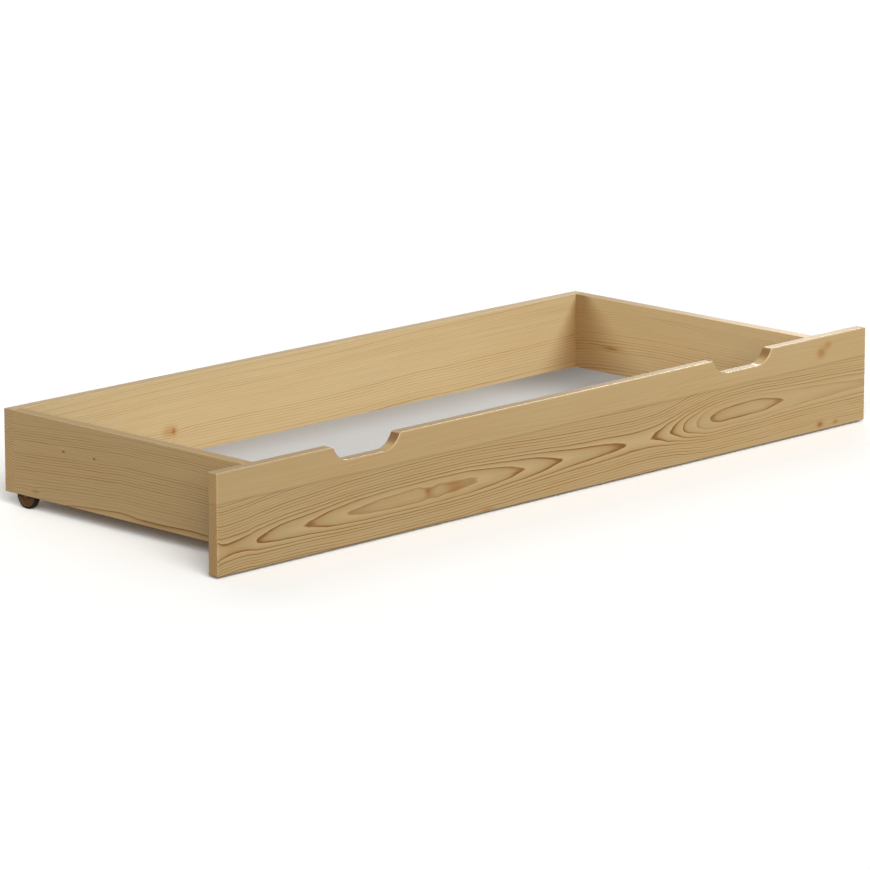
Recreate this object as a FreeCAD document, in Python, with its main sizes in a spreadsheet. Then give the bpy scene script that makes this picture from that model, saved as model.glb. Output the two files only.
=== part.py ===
"""Under-bed storage box: pine boards, a white floor panel and four recessed rollers.

Frame: +X along the front panel, +Y from front to back, +Z up. The origin is on the ground,
under the centre of the box. Every length is in millimetres.
"""
import FreeCAD, Part
import os
import re

import Sketcher
from FreeCAD import Placement, Rotation, Vector

# ---------------------------------------------------------------- driving dimensions

SIZES = {
    # boards
    "front_length": 1980,
    "front_height": 211,
    "front_thickness": 27,
    "front_clearance": 4,
    "front_rise": 9,
    "front_arris": 3,
    "end_overhang": 119,
    "side_height": 177,
    "side_length": 720,
    "board_thickness": 28,
    "board_arris": 1,
    # grip cut-outs in the top edge of the front panel
    "grip_flat": 100,
    "grip_depth": 32,
    "grip_radius": 46,
    "grip_shoulder": 8,
    "grip_spacing": 1150,
    # floor panel, its rebates and its groove
    "floor_thickness": 6,
    "rebate_width": 8,
    "floor_gap": 0.5,
    "groove_play": 0.2,
    "batten_width": 45,
    "batten_thickness": 20,
    "batten_setback": 3,
    "batten_spacing": 560,
    # rollers
    "wheel_radius": 29,
    "wheel_width": 13,
    "tread_thickness": 4,
    "tread_round": 1.5,
    "hub_radius": 7,
    "web_thickness": 4,
    "rim_thickness": 2.5,
    "axle_radius": 2.5,
    "axle_play": 0.05,
    "cheek_thickness": 1.6,
    "cheek_play": 0.3,
    "cheek_boss": 7,
    "cheek_reach": 17.5,
    "cheek_shoulder": 4.9,
    "arch_play": 1.4,
    "arch_thickness": 1.4,
    "pocket_play": 0.1,
    "pocket_inset": 3,
    "pocket_depth": 32,
    "flange_length": 30,
    "flange_thickness": 2.4,
    # dowels, cam locks and screws
    "dowel_radius": 4,
    "dowel_length": 30,
    "dowel_chamfer": 0.8,
    "hole_play": 0.1,
    "lower_dowel_height": 62,
    "upper_dowel_height": 152,
    "lower_cam_height": 84,
    "upper_cam_height": 130,
    "cam_setback": 34,
    "cam_radius": 7.4,
    "cam_length": 19,
    "cam_cross_length": 7.4,
    "cam_cross_width": 1.8,
    "cam_cross_depth": 2.5,
    "bolt_radius": 3,
    "bolt_thread_radius": 2.5,
    "bolt_thread_length": 11,
    "bolt_head_radius": 3.6,
    "bolt_head_length": 4,
    "corner_head": 5,
    "corner_shank": 3.5,
    "corner_length": 50,
    "batten_screw_head": 4,
    "batten_screw_shank": 2.1,
    "batten_screw_length": 40,
    "roller_screw_head": 3.4,
    "roller_screw_shank": 1.75,
    "roller_screw_length": 20,
    "floor_screw_head": 3,
    "floor_screw_shank": 1.5,
    "floor_screw_length": 16,
}

CORNER_SCREW_HEIGHTS = ("50", "108", "166")
DOWEL_HEIGHTS = ("lower_dowel_height", "upper_dowel_height")
CAM_HEIGHTS = ("lower_cam_height", "upper_cam_height")
SIDE_FLOOR_SCREWS = ("90", "270", "450", "630")
BACK_FLOOR_SCREWS = ("-750", "-420", "-140", "140", "420", "750")
BATTENS = {
    "left_floor_batten": "-batten_spacing",
    "middle_floor_batten": "0",
    "right_floor_batten": "batten_spacing",
}
ROLLER_SCREWS = ("8", "22")

# Proportions of every screw, as shares of its head or shank radius.
RECESS_LENGTH = 1.1
RECESS_WIDTH = 0.26
RECESS_DEPTH = 0.5
TIP_LENGTH = 1.5
TIP_POINT = 0.125

# Places that several pieces share, written with the names above.
HALF_BOX = "(front_length / 2 - end_overhang)"
DEPTH = "(front_thickness + side_length + board_thickness)"
FRONT_FACE = f"(-{DEPTH} / 2)"
SIDE_FRONT = f"({FRONT_FACE} + front_thickness)"
SIDE_REAR = f"({FRONT_FACE} + front_thickness + side_length)"
SIDE_BOTTOM = "(front_clearance + front_height - front_rise - side_height)"
HOUSING_WIDTH = "(wheel_width + 2 * cheek_play + 2 * cheek_thickness)"
POCKET_WIDTH = f"({HOUSING_WIDTH} + 2 * pocket_play)"
ARCH_RADIUS = "(wheel_radius + arch_play + arch_thickness)"
ROLLER_OFFSET = f"({ARCH_RADIUS} + 2 * pocket_play)"
POCKET_REACH = f"({ROLLER_OFFSET} + {ARCH_RADIUS} + pocket_play)"
ROLLER_X = f"({HALF_BOX} - pocket_inset - {POCKET_WIDTH} / 2)"
AXLE_DROP = f"({SIDE_BOTTOM} - wheel_radius)"
HALF_REBATED = f"({HALF_BOX} - board_thickness + rebate_width)"
SIDE_MIDDLE = f"({HALF_BOX} - board_thickness / 2)"
CUT_MARGIN = "1"

X_AXIS = Vector(1, 0, 0)
Y_AXIS = Vector(0, 1, 0)
Z_AXIS = Vector(0, 0, 1)
TOLERANCE = 1e-4

doc = FreeCAD.newDocument("UnderBedBox")
nodes = []


def make_sheet():
    """Keep every driving dimension in one spreadsheet, each cell with its alias."""
    sheet = doc.addObject("Spreadsheet::Sheet", "Sizes")
    for row, (alias, value) in enumerate(SIZES.items(), 1):
        sheet.set(f"A{row}", alias)
        sheet.set(f"B{row}", str(value))
        sheet.setAlias(f"B{row}", alias)
    doc.recompute()


def bound(text):
    """Turn plain names such as side_length into references to the sheet."""
    return re.sub(r"[a-z_]+", lambda word: f"Sizes.{word[0]}" if word[0] in SIZES else word[0], text)


def place(item, where, rotation=None):
    """Put an object at three expressions, with an optional fixed rotation."""
    if rotation:
        item.Placement = Placement(Vector(), rotation)
    for axis, text in zip("xyz", where):
        item.setExpression(f"Placement.Base.{axis}", bound(text))


def keep(item, label):
    """Register an object as a finished sub-part."""
    item.Label = label
    nodes.append(item)


# ---------------------------------------------------------------- sketch and feature helpers

def new_sketch(body, name, role, offset="0"):
    """Sketch on one of the body's own origin planes, lifted along the plane's normal."""
    sketch = body.newObject("Sketcher::SketchObject", f"{body.Name}_{name}")
    plane = next(item for item in body.Origin.OriginFeatures if item.Role == role)
    sketch.AttachmentSupport = [(plane, "")]
    sketch.MapMode = "FlatFace"
    sketch.setExpression("AttachmentOffset.Base.z", bound(offset))
    return sketch


def constrain(sketch, kind, references, text):
    """Add one dimension and bind it to the sheet."""
    index = sketch.addConstraint(Sketcher.Constraint(kind, *references, 1.0))
    sketch.setExpression(f"Constraints[{index}]", bound(text))


def add_polygon(sketch, corners):
    """Closed outline whose corners are pairs of expressions."""
    first = sketch.GeometryCount
    count = len(corners)
    ring = [Vector(10 * n, 7 * n * n, 0) for n in range(count)]
    for start, end in zip(ring, ring[1:] + ring[:1]):
        sketch.addGeometry(Part.LineSegment(start, end))
    for n in range(count):
        sketch.addConstraint(Sketcher.Constraint("Coincident", first + n, 2, first + (n + 1) % count, 1))
    for n, (across, up) in enumerate(corners):
        constrain(sketch, "DistanceX", (-1, 1, first + n, 1), across)
        constrain(sketch, "DistanceY", (-1, 1, first + n, 1), up)


def add_rectangle(sketch, left, bottom, width, height):
    """Rectangle from its lower left corner."""
    right = f"{left} + {width}"
    top = f"{bottom} + {height}"
    add_polygon(sketch, [(left, bottom), (right, bottom), (right, top), (left, top)])


def add_circle(sketch, across, up, radius):
    index = sketch.addGeometry(Part.Circle(Vector(), Vector(0, 0, 1), 5))
    constrain(sketch, "DistanceX", (-1, 1, index, 3), across)
    constrain(sketch, "DistanceY", (-1, 1, index, 3), up)
    constrain(sketch, "Radius", (index,), radius)


def new_body(name):
    return doc.addObject("PartDesign::Body", name)


def pad(body, sketch, length, reverse=False, midplane=False):
    feature = body.newObject("PartDesign::Pad", f"{sketch.Name}_pad")
    feature.Profile = sketch
    feature.Reversed = reverse
    feature.Midplane = midplane
    feature.setExpression("Length", bound(length))
    doc.recompute()


def pocket(body, sketch, depth, reverse=False):
    """Cut a sketch out of the body and make sure that the cut removes material."""
    before = body.Shape.Volume
    feature = body.newObject("PartDesign::Pocket", f"{sketch.Name}_pocket")
    feature.Profile = sketch
    feature.Reversed = reverse
    feature.setExpression("Length", bound(depth))
    doc.recompute()
    if body.Shape.Volume > before - TOLERANCE:
        raise RuntimeError(f"{feature.Name} cuts nothing")


def revolve(body, sketch):
    """Turn a half profile in the XZ plane about the vertical axis."""
    feature = body.newObject("PartDesign::Revolution", f"{sketch.Name}_turned")
    feature.Profile = sketch
    feature.ReferenceAxis = (sketch, ["V_Axis"])
    feature.Angle = 360
    doc.recompute()


def dress(body, kind, wanted, size):
    """Fillet or chamfer every edge of the body's tip that the test accepts."""
    base = body.Tip
    names = [f"Edge{n}" for n, edge in enumerate(base.Shape.Edges, 1) if wanted(edge)]
    feature = body.newObject(f"PartDesign::{kind}", f"{base.Name}_{kind.lower()}")
    feature.Base = (base, names)
    feature.setExpression("Radius" if kind == "Fillet" else "Size", bound(size))
    doc.recompute()


def drill(body, name, role, offset, centres, radius, depth, reverse=False):
    """Round holes with one radius and depth, from a plane parallel to an origin plane."""
    sketch = new_sketch(body, name, role, offset)
    for across, up in centres:
        add_circle(sketch, across, up, radius)
    pocket(body, sketch, depth, reverse)


def countersink(body, name, role, offset, centres, head, shank, reverse=False):
    """Through holes whose 90 degree countersink is at the sketch plane."""
    sketch = new_sketch(body, name, role, offset)
    for across, up in centres:
        add_circle(sketch, across, up, shank)
    doc.recompute()
    hole = body.newObject("PartDesign::Hole", f"{sketch.Name}_hole")
    hole.Profile = sketch
    hole.DepthType = "ThroughAll"
    hole.Reversed = reverse
    hole.Threaded = False
    hole.HoleCutType = "Countersink"
    hole.HoleCutCountersinkAngle = 90
    hole.setExpression("Diameter", bound(f"2 * ({shank} + hole_play)"))
    hole.setExpression("HoleCutDiameter", bound(f"2 * ({head} + hole_play)"))
    before = body.Shape.Volume
    doc.recompute()
    if body.Shape.Volume > before - TOLERANCE:
        raise RuntimeError(f"{hole.Name} cuts nothing")


def along(edge, axis):
    """True for a straight edge parallel to an axis."""
    if not isinstance(edge.Curve, Part.Line):
        return False
    return abs(edge.Curve.Direction.dot(axis)) > 0.999


def on_plane(edge, axis, value):
    """True if the whole edge lies on the plane where the coordinate has this value."""
    ends = [vertex.Point.dot(axis) for vertex in edge.Vertexes] + [edge.CenterOfMass.dot(axis)]
    return all(abs(end - value) < TOLERANCE for end in ends)


# ---------------------------------------------------------------- boards

def make_front_panel():
    """Wide front board with two grip cut-outs; its own Y runs from front face to rear face."""
    body = new_body("front_panel")
    outline = new_sketch(body, "outline", "XZ_Plane")
    add_rectangle(outline, "-front_length / 2", "0", "front_length", "front_height")
    pad(body, outline, "front_thickness", reverse=True)

    grips = new_sketch(body, "grips", "XZ_Plane")
    grip_ends = new_sketch(body, "grip_ends", "XZ_Plane")
    for side in ("-", ""):
        left = f"{side}grip_spacing / 2 - grip_flat / 2"
        add_rectangle(grips, left, "front_height - grip_depth", "grip_flat", "2 * grip_depth")
        for centre in (left, f"{left} + grip_flat"):
            add_circle(grip_ends, centre, "front_height - grip_depth + grip_radius", "grip_radius")
    pocket(body, grips, "front_thickness")
    pocket(body, grip_ends, "front_thickness")

    top = SIZES["front_height"]
    end = SIZES["front_length"] / 2

    def shoulder(edge):
        return along(edge, Y_AXIS) and on_plane(edge, Z_AXIS, top) and abs(edge.CenterOfMass.x) < end - 1

    def outer_corner(edge):
        return along(edge, Y_AXIS) and abs(edge.CenterOfMass.x) > end - 1

    dress(body, "Fillet", shoulder, "grip_shoulder")
    dress(body, "Fillet", outer_corner, "front_arris")
    faces = (0, SIZES["front_thickness"])
    dress(body, "Fillet", lambda edge: any(on_plane(edge, Y_AXIS, face) for face in faces), "front_arris")

    groove = new_sketch(body, "groove", "XZ_Plane", "-front_thickness")
    bottom = f"{SIDE_BOTTOM} - front_clearance - groove_play"
    add_rectangle(groove, f"-{HALF_REBATED}", bottom, f"2 * {HALF_REBATED}",
                  "floor_thickness + 2 * groove_play")
    pocket(body, groove, "rebate_width", reverse=True)

    dowels = joint_centres(DOWEL_HEIGHTS)
    dowels += [(x, f"{SIDE_BOTTOM} - front_clearance - batten_thickness / 2") for x in BATTENS.values()]
    rear = "-front_thickness"
    drill(body, "dowel_holes", "XZ_Plane", rear, dowels, "dowel_radius + hole_play",
          "dowel_length / 2 + floor_gap", reverse=True)
    drill(body, "bolt_holes", "XZ_Plane", rear, joint_centres(CAM_HEIGHTS),
          "bolt_thread_radius + hole_play", "bolt_thread_length + floor_gap", reverse=True)
    place(body, ("0", FRONT_FACE, "front_clearance"))
    keep(body, "front_panel")


def joint_centres(heights):
    """Centres on the rear of the front panel that face the middle of each side panel's end."""
    rise = f"{SIDE_BOTTOM} - front_clearance"
    return [(f"{sign}{SIDE_MIDDLE}", f"{rise} + {height}") for sign in ("-", "") for height in heights]


def make_left_side_panel():
    """Side board; its own X runs from outer to inner face and its own Y from front to rear end."""
    body = new_body("left_side_panel")
    outline = new_sketch(body, "outline", "XY_Plane")
    add_rectangle(outline, "0", "0", "board_thickness", "side_length")
    pad(body, outline, "side_height")
    dress(body, "Fillet", lambda edge: along(edge, Y_AXIS), "board_arris")

    rebate = new_sketch(body, "rebate", "XZ_Plane")
    add_rectangle(rebate, "board_thickness - rebate_width", f"-{CUT_MARGIN}", "2 * rebate_width",
                  f"floor_thickness + {CUT_MARGIN}")
    pocket(body, rebate, "side_length")

    pockets = new_sketch(body, "roller_pockets", "XY_Plane")
    flanges = new_sketch(body, "flange_recesses", "XY_Plane")
    flange_ends = f"{POCKET_REACH} + flange_length"
    starts = (f"-{CUT_MARGIN}", f"side_length - {POCKET_REACH}")
    flange_starts = ("0", f"side_length - ({flange_ends})")
    for start, flange_start in zip(starts, flange_starts):
        add_rectangle(pockets, "pocket_inset", start, POCKET_WIDTH, f"{POCKET_REACH} + {CUT_MARGIN}")
        add_rectangle(flanges, "pocket_inset", flange_start, POCKET_WIDTH, flange_ends)
    pocket(body, pockets, "pocket_depth", reverse=True)
    pocket(body, flanges, "flange_thickness", reverse=True)

    middle = "board_thickness / 2"
    for end, offset, reverse in (("front", "0", False), ("rear", "-side_length", True)):
        centres = [(middle, height) for height in DOWEL_HEIGHTS]
        drill(body, f"{end}_dowel_holes", "XZ_Plane", offset, centres, "dowel_radius + hole_play",
              "dowel_length / 2 + floor_gap", reverse)
    centres = [(middle, height) for height in CAM_HEIGHTS]
    drill(body, "bolt_holes", "XZ_Plane", "0", centres, "bolt_head_radius + hole_play", "cam_setback")
    centres = [("cam_setback", height) for height in CAM_HEIGHTS]
    drill(body, "cam_bores", "YZ_Plane", "board_thickness", centres, "cam_radius + hole_play",
          "cam_length + floor_gap")
    centres = [(middle, height) for height in CORNER_SCREW_HEIGHTS]
    drill(body, "corner_pilots", "XZ_Plane", "-side_length", centres, "corner_shank + hole_play",
          "corner_length - board_thickness + floor_gap", reverse=True)

    screw_line = f"pocket_inset + {POCKET_WIDTH} / 2"
    roller_pilots = [(screw_line, f"{POCKET_REACH} + {step}") for step in ROLLER_SCREWS]
    roller_pilots += [(screw_line, f"side_length - {POCKET_REACH} - {step}") for step in ROLLER_SCREWS]
    drill(body, "roller_pilots", "XY_Plane", "0", roller_pilots, "roller_screw_shank + hole_play",
          "roller_screw_length + floor_gap", reverse=True)
    floor_pilots = [("board_thickness - rebate_width / 2", step) for step in SIDE_FLOOR_SCREWS]
    drill(body, "floor_pilots", "XY_Plane", "0", floor_pilots, "floor_screw_shank + hole_play",
          "floor_screw_length + floor_gap", reverse=True)
    place(body, (f"-{HALF_BOX}", SIDE_FRONT, SIDE_BOTTOM))
    keep(body, "left_side_panel")
    return body


def make_right_side_panel(left):
    """The right side board is the left one mirrored across the middle of the box."""
    mirrored = doc.addObject("Part::Mirroring", "right_side_panel")
    mirrored.Source = left
    mirrored.Normal = X_AXIS
    keep(mirrored, "right_side_panel")


def make_back_panel():
    """Back board over the side panels' ends; its own Y runs from inner to rear face."""
    body = new_body("back_panel")
    outline = new_sketch(body, "outline", "XZ_Plane")
    add_rectangle(outline, f"-{HALF_BOX}", "0", f"2 * {HALF_BOX}", "side_height")
    pad(body, outline, "board_thickness", reverse=True)
    rear = SIZES["board_thickness"]
    dress(body, "Fillet", lambda edge: along(edge, X_AXIS) or on_plane(edge, Y_AXIS, rear), "board_arris")

    rebate = new_sketch(body, "rebate", "XZ_Plane")
    add_rectangle(rebate, f"-{HALF_REBATED}", f"-{CUT_MARGIN}", f"2 * {HALF_REBATED}",
                  f"floor_thickness + {CUT_MARGIN}")
    pocket(body, rebate, "rebate_width")

    sides = [f"-{SIDE_MIDDLE}", SIDE_MIDDLE]
    centres = [(x, height) for x in sides for height in DOWEL_HEIGHTS]
    drill(body, "dowel_holes", "XZ_Plane", "0", centres, "dowel_radius + hole_play",
          "dowel_length / 2 + floor_gap")
    centres = [(x, "rebate_width / 2") for x in BACK_FLOOR_SCREWS]
    drill(body, "floor_pilots", "XY_Plane", "0", centres, "floor_screw_shank + hole_play",
          "floor_screw_length + floor_gap", reverse=True)
    centres = [(x, "board_thickness / 2") for x in BATTENS.values()]
    drill(body, "batten_pilots", "XY_Plane", "0", centres, "batten_screw_shank + hole_play",
          "batten_screw_length - batten_thickness + floor_gap", reverse=True)
    centres = [(x, height) for x in sides for height in CORNER_SCREW_HEIGHTS]
    countersink(body, "corner_holes", "XZ_Plane", "-board_thickness", centres, "corner_head", "corner_shank",
                reverse=True)
    place(body, ("0", SIDE_REAR, SIDE_BOTTOM))
    keep(body, "back_panel")


def make_floor_panel():
    """Thin floor, flush with the bottom edges; its own Y starts at the front panel's rear face."""
    body = new_body("floor_panel")
    outline = new_sketch(body, "outline", "XY_Plane")
    half = f"({HALF_REBATED} - floor_gap)"
    reach = "(rebate_width - floor_gap)"
    add_rectangle(outline, f"-{half}", f"-{reach}", f"2 * {half}", f"side_length + 2 * {reach}")
    pad(body, outline, "floor_thickness")
    side_line = f"({HALF_REBATED} - rebate_width / 2)"
    centres = [(f"{sign}{side_line}", step) for sign in ("-", "") for step in SIDE_FLOOR_SCREWS]
    centres += [(x, "side_length + rebate_width / 2") for x in BACK_FLOOR_SCREWS]
    countersink(body, "screw_holes", "XY_Plane", "0", centres, "floor_screw_head", "floor_screw_shank",
                reverse=True)
    place(body, ("0", SIDE_FRONT, SIDE_BOTTOM))
    keep(body, "floor_panel")


def make_battens():
    """Cross battens under the floor, from the front panel to under the back panel."""
    for name, x in BATTENS.items():
        body = new_body(name)
        outline = new_sketch(body, "outline", "XY_Plane")
        length = "(side_length + board_thickness - batten_setback)"
        add_rectangle(outline, "-batten_width / 2", "0", "batten_width", length)
        pad(body, outline, "batten_thickness")
        dress(body, "Fillet", lambda edge: along(edge, Y_AXIS) and on_plane(edge, Z_AXIS, 0), "board_arris")
        drill(body, "dowel_hole", "XZ_Plane", "0", [("0", "batten_thickness / 2")],
              "dowel_radius + hole_play", "dowel_length / 2 + floor_gap")
        countersink(body, "screw_hole", "XY_Plane", "0", [("0", "side_length + board_thickness / 2")],
                    "batten_screw_head", "batten_screw_shank", reverse=True)
        place(body, (x, SIDE_FRONT, f"{SIDE_BOTTOM} - batten_thickness"))
        keep(body, name)


# ---------------------------------------------------------------- rollers

ROLLERS = {
    "front_left": (f"-{ROLLER_X}", f"{SIDE_FRONT} + {ROLLER_OFFSET}", Rotation(Z_AXIS, 180)),
    "front_right": (ROLLER_X, f"{SIDE_FRONT} + {ROLLER_OFFSET}", Rotation(Z_AXIS, 180)),
    "rear_left": (f"-{ROLLER_X}", f"{SIDE_REAR} - {ROLLER_OFFSET}", Rotation()),
    "rear_right": (ROLLER_X, f"{SIDE_REAR} - {ROLLER_OFFSET}", Rotation()),
}


def make_housing(corner, x, y, turn):
    """Arched cover with two cheeks that carry the axle, and a screwed flange along -Y."""
    body = new_body(f"{corner}_roller_housing")
    arch = new_sketch(body, "arch", "YZ_Plane")
    add_circle(arch, "0", "0", ARCH_RADIUS)
    pad(body, arch, HOUSING_WIDTH, midplane=True)

    below = new_sketch(body, "below", "YZ_Plane", f"-{HOUSING_WIDTH}")
    add_rectangle(below, f"-2 * {ARCH_RADIUS}", f"{AXLE_DROP} - 2 * {ARCH_RADIUS}",
                  f"4 * {ARCH_RADIUS}", f"2 * {ARCH_RADIUS}")
    pocket(body, below, f"2 * {HOUSING_WIDTH}", reverse=True)

    cheek = new_sketch(body, "cheek", "YZ_Plane")
    top = f"{AXLE_DROP} + cheek_thickness"
    add_polygon(cheek, [("-cheek_reach", top), ("-cheek_shoulder", "-cheek_shoulder"),
                        ("cheek_shoulder", "-cheek_shoulder"), ("cheek_reach", top)])
    pad(body, cheek, HOUSING_WIDTH, midplane=True)
    boss = new_sketch(body, "boss", "YZ_Plane")
    add_circle(boss, "0", "0", "cheek_boss")
    pad(body, boss, HOUSING_WIDTH, midplane=True)

    inside_half = "(wheel_width / 2 + cheek_play)"
    cavity = new_sketch(body, "cavity", "YZ_Plane", f"-{inside_half}")
    add_circle(cavity, "0", "0", "wheel_radius + arch_play")
    pocket(body, cavity, f"2 * {inside_half}", reverse=True)
    drill(body, "axle_holes", "YZ_Plane", f"-{HOUSING_WIDTH}", [("0", "0")], "axle_radius",
          f"2 * {HOUSING_WIDTH}", reverse=True)

    flange = new_sketch(body, "flange", "XY_Plane", AXLE_DROP)
    overlap = "arch_thickness / 2"
    add_rectangle(flange, f"-{HOUSING_WIDTH} / 2", f"-{ARCH_RADIUS} - flange_length",
                  HOUSING_WIDTH, f"flange_length + {overlap}")
    pad(body, flange, "flange_thickness - pocket_play")
    centres = [("0", f"-{ARCH_RADIUS} - pocket_play - {step}") for step in ROLLER_SCREWS]
    countersink(body, "flange_holes", "XY_Plane", AXLE_DROP, centres, "roller_screw_head",
                "roller_screw_shank", reverse=True)
    place(body, (x, y, "wheel_radius"), turn)
    keep(body, body.Name)


def make_wheel(corner, x, y):
    """Wheel core: hub, thin web and rim, turned about its own vertical axis."""
    body = new_body(f"{corner}_roller_wheel")
    profile = new_sketch(body, "profile", "XZ_Plane")
    bore = "axle_radius + axle_play"
    rim_top = "wheel_radius - tread_thickness"
    rim_foot = f"{rim_top} - rim_thickness"
    half = "wheel_width / 2"
    web = "web_thickness / 2"
    upper = [(rim_top, half), (rim_foot, half), (rim_foot, web), ("hub_radius", web), ("hub_radius", half),
             (bore, half)]
    lower = [(across, f"-{up}") for across, up in reversed(upper)]
    add_polygon(profile, upper + lower)
    revolve(body, profile)
    place(body, (x, y, "wheel_radius"), Rotation(Y_AXIS, 90))
    keep(body, body.Name)


def make_tread(corner, x, y):
    """Soft ring around the wheel core, with rounded outer edges."""
    body = new_body(f"{corner}_roller_tread")
    profile = new_sketch(body, "profile", "XZ_Plane")
    add_rectangle(profile, "wheel_radius - tread_thickness", "-wheel_width / 2", "tread_thickness",
                  "wheel_width")
    revolve(body, profile)
    radius = SIZES["wheel_radius"]

    def outer_edge(edge):
        return isinstance(edge.Curve, Part.Circle) and abs(edge.Curve.Radius - radius) < TOLERANCE

    dress(body, "Fillet", outer_edge, "tread_round")
    place(body, (x, y, "wheel_radius"), Rotation(Y_AXIS, 90))
    keep(body, body.Name)


def make_axle(corner, x, y):
    """Steel pin held by the cheeks."""
    body = new_body(f"{corner}_roller_axle")
    drawn = new_sketch(body, "section", "YZ_Plane")
    add_circle(drawn, "0", "0", "axle_radius")
    pad(body, drawn, HOUSING_WIDTH, midplane=True)
    dress(body, "Chamfer", lambda edge: isinstance(edge.Curve, Part.Circle), "cheek_play")
    place(body, (x, y, "wheel_radius"))
    keep(body, body.Name)


# ---------------------------------------------------------------- fasteners

def primitive(kind, name, sizes, up="0"):
    """Part primitive on the vertical axis, with bound sizes and height."""
    item = doc.addObject(f"Part::{kind}", name)
    for size, text in sizes.items():
        item.setExpression(size, bound(text))
    item.setExpression("Placement.Base.z", bound(up))
    return item


def make_screw(name, head, shank, length):
    """Countersunk screw with a cross recess: top of the head at the origin, point along -Z."""
    cone = f"({head} - {shank})"
    tip = f"({TIP_LENGTH} * {shank})"
    point = f"{TIP_POINT} * {shank}"
    rod = f"{length} - {cone} - {tip}"
    parts = [
        primitive("Cone", f"{name}_head", {"Radius1": shank, "Radius2": head, "Height": cone}, f"-{cone}"),
        primitive("Cylinder", f"{name}_shank", {"Radius": shank, "Height": rod}, f"{tip} - {length}"),
        primitive("Cone", f"{name}_tip", {"Radius1": point, "Radius2": shank, "Height": tip}, f"-{length}"),
    ]
    solid = doc.addObject("Part::MultiFuse", f"{name}_solid")
    solid.Shapes = parts
    bars = []
    for n, (across, deep) in enumerate(((RECESS_LENGTH, RECESS_WIDTH), (RECESS_WIDTH, RECESS_LENGTH))):
        sizes = {"Length": f"{across} * {head}", "Width": f"{deep} * {head}", "Height": head}
        bar = primitive("Box", f"{name}_bar_{n}", sizes, f"-{RECESS_DEPTH} * {head}")
        bar.setExpression("Placement.Base.x", bound(f"-{across} * {head} / 2"))
        bar.setExpression("Placement.Base.y", bound(f"-{deep} * {head} / 2"))
        bars.append(bar)
    recess = doc.addObject("Part::MultiFuse", f"{name}_recess")
    recess.Shapes = bars
    screw = doc.addObject("Part::Cut", name)
    screw.Base = solid
    screw.Tool = recess
    return screw


def make_dowel():
    """Wooden dowel with chamfered ends, centred on the origin along Z."""
    body = new_body("dowel")
    section = new_sketch(body, "section", "XY_Plane")
    add_circle(section, "0", "0", "dowel_radius")
    pad(body, section, "dowel_length", midplane=True)
    dress(body, "Chamfer", lambda edge: isinstance(edge.Curve, Part.Circle), "dowel_chamfer")
    return body


def make_cam():
    """Cam lock: visible face at the origin, body along -Z, open on -Y for the dowel's head."""
    body = new_body("cam")
    section = new_sketch(body, "section", "XY_Plane")
    add_circle(section, "0", "0", "cam_radius")
    pad(body, section, "cam_length", reverse=True)
    slot = new_sketch(body, "slot", "XZ_Plane", "-bolt_head_radius")
    half = "(bolt_head_radius + hole_play)"
    add_rectangle(slot, f"-{half}", f"-board_thickness / 2 - {half}", f"2 * {half}", f"2 * {half}")
    pocket(body, slot, "2 * cam_radius", reverse=True)
    for name, across, up in (("cross", "cam_cross_length", "cam_cross_width"),
                             ("cross_bar", "cam_cross_width", "cam_cross_length")):
        cross = new_sketch(body, name, "XY_Plane")
        add_rectangle(cross, f"-{across} / 2", f"-{up} / 2", across, up)
        pocket(body, cross, "cam_cross_depth")
    return body


def make_cam_dowel():
    """Steel dowel of a cam lock: thread below the origin, shank and head above it."""
    shank = "cam_setback - bolt_head_length / 2"
    thread_size = {"Radius": "bolt_thread_radius", "Height": "bolt_thread_length"}
    head_size = {"Radius": "bolt_head_radius", "Height": "bolt_head_length"}
    parts = [
        primitive("Cylinder", "cam_dowel_thread", thread_size, "-bolt_thread_length"),
        primitive("Cylinder", "cam_dowel_shank", {"Radius": "bolt_radius", "Height": shank}),
        primitive("Cylinder", "cam_dowel_head", head_size, shank),
    ]
    solid = doc.addObject("Part::MultiFuse", "cam_dowel")
    solid.Shapes = parts
    return solid


def make_group(label, master, places):
    """One sub-part made of copies of a fastener, each at its own place and turn."""
    copies = []
    for n, (where, turn) in enumerate(places):
        copy = doc.addObject("App::Link", f"{label}_{n}")
        copy.LinkedObject = master
        place(copy, where, turn)
        copies.append(copy)
    group = doc.addObject("Part::Compound", label)
    group.Links = copies
    keep(group, label)


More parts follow.
